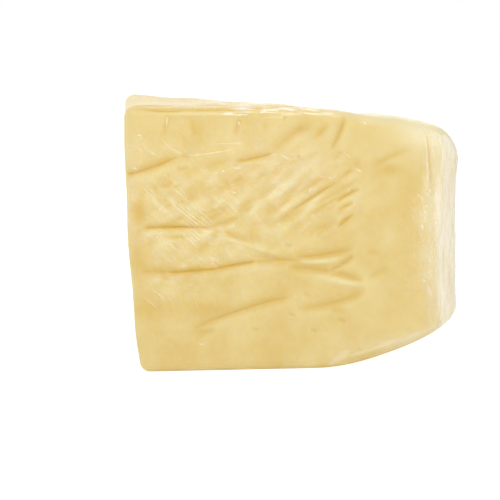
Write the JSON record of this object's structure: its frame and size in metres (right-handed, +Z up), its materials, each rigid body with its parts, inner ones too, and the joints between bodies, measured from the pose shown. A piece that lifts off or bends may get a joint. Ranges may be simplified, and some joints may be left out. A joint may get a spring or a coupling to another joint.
{
  "type": "block of quesillo cheese",
  "caption": "Tall block of soft pale yellow stretched-curd cheese in tight clear wrap, with a flat cut end, a rounded end and creased broad faces.",
  "frame": {"origin": "middle of the bounding box, at the level of the flat base", "axes": "+X runs along the block from its flat cut end to its rounded end, -Y is the broad front, +Z is up"},
  "size_m": [0.1918, 0.0918, 0.1451],
  "materials": {
    "cheese": "satin",
    "clear_wrap": "clear and glossy"
  },
  "bodies": {
    "root": {"quesillo_block": "cheese"}
  },
  "joints": []
}
